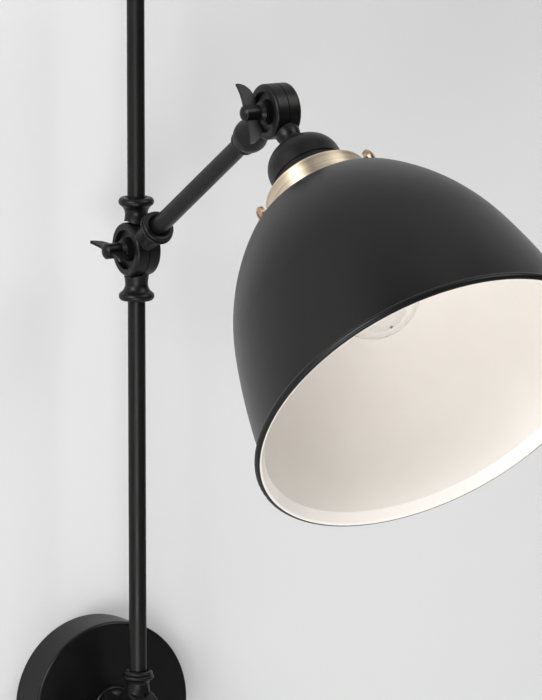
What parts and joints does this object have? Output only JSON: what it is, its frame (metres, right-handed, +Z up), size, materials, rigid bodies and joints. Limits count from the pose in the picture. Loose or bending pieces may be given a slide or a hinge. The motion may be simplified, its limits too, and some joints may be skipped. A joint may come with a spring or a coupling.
{
  "type": "articulating wall lamp",
  "caption": "Wall lamp with a round wall plate, a tilting rod, a swing arm and a dome shade on clamped knuckle joints with wing nuts.",
  "frame": {"origin": "middle of the wall plate's back, on the wall face", "axes": "+Z up along the rod, +X to the right along the wall, +Y into the wall; the lamp stands out toward -Y"},
  "size_m": [0.2558, 0.5452, 0.6265],
  "materials": {
    "black_metal": "satin",
    "plate_metal": "satin",
    "shade_enamel": "satin",
    "antique_brass": "brushed",
    "screw_brass": "satin",
    "brass": "satin",
    "steel": "zinc plated",
    "insulator": "matte",
    "bulb_metal": "satin",
    "clear_glass": "clear",
    "filament": "satin"
  },
  "bodies": {
    "base": {"wall_plate": "plate_metal", "crossbar": "steel", "canopy_screws": "black_metal", "ground_screw": "brass", "plate_nipple": "steel", "plate_lock_nut": "steel", "lower_knuckle_base_half": "black_metal", "lower_pivot_bolt": "black_metal", "lower_friction_washer": "steel", "lower_nut_washer": "black_metal"},
    "rod": {"lower_knuckle_rod_half": "black_metal", "lower_rod": "black_metal", "upper_rod": "black_metal", "rod_finial": "black_metal", "middle_knuckle_rod_half": "black_metal", "middle_pivot_bolt": "black_metal", "middle_friction_washer": "steel", "middle_nut_washer": "black_metal"},
    "arm": {"middle_knuckle_arm_half": "black_metal", "arm_tube": "black_metal", "upper_knuckle_arm_half": "black_metal"},
    "head": {"upper_knuckle_head_half": "black_metal", "upper_pivot_bolt": "black_metal", "upper_friction_washer": "steel", "upper_nut_washer": "black_metal", "head_nipple": "steel", "cup_lock_nut": "steel", "socket_cup": "black_metal", "lampholder_body": "insulator", "lampholder_shell": "brass", "lampholder_contact": "brass", "bulb_base": "bulb_metal", "bulb_glass": "clear_glass", "bulb_stem": "clear_glass", "bulb_filament": "filament", "gallery_ring": "antique_brass", "gallery_nut": "insulator", "shade": "shade_enamel"},
    "lower_nut": {"lower_wing_nut": "black_metal"},
    "middle_nut": {"middle_wing_nut": "black_metal"},
    "upper_nut": {"upper_wing_nut": "black_metal"},
    "screw_1": {"gallery_screw_1": "screw_brass"},
    "screw_2": {"gallery_screw_2": "screw_brass"},
    "screw_3": {"gallery_screw_3": "screw_brass"}
  },
  "joints": [
    {"name": "rod_tilt", "type": "hinge", "parent": "base", "child": "rod", "pos_m": [0, -0.0681, 0], "axis": [1, 0, 0], "range_deg": [-5, 85]},
    {"name": "arm_lift", "type": "hinge", "parent": "rod", "child": "arm", "pos_m": [0, -0.0681, 0.3426], "axis": [1, 0, 0], "range_deg": [-4, 30]},
    {"name": "shade_tilt", "type": "hinge", "parent": "arm", "child": "head", "pos_m": [0, -0.26035, 0.4648], "axis": [1, 0, 0], "range_deg": [-75, 38]},
    {"name": "lower_nut_turn", "type": "hinge", "parent": "base", "child": "lower_nut", "pos_m": [0, -0.0681, 0], "axis": [-1, 0, 0], "range_deg": [0, 360]},
    {"name": "middle_nut_turn", "type": "hinge", "parent": "rod", "child": "middle_nut", "pos_m": [0, -0.0681, 0.3426], "axis": [-1, 0, 0], "range_deg": [0, 360]},
    {"name": "upper_nut_turn", "type": "hinge", "parent": "head", "child": "upper_nut", "pos_m": [0, -0.26035, 0.4648], "axis": [-1, 0, 0], "range_deg": [0, 360]},
    {"name": "screw_1_turn", "type": "hinge", "parent": "head", "child": "screw_1", "pos_m": [0.01742, -0.35228, 0.44323], "axis": [0.3746, -0.6006, 0.7064], "range_deg": [0, 360]},
    {"name": "screw_2_turn", "type": "hinge", "parent": "head", "child": "screw_2", "pos_m": [-0.04605, -0.32016, 0.40546], "axis": [-0.9903, 0.0901, -0.106], "range_deg": [0, 360]},
    {"name": "screw_3_turn", "type": "hinge", "parent": "head", "child": "screw_3", "pos_m": [0.02863, -0.30062, 0.38247], "axis": [0.6157, 0.5104, -0.6004], "range_deg": [0, 360]}
  ]
}
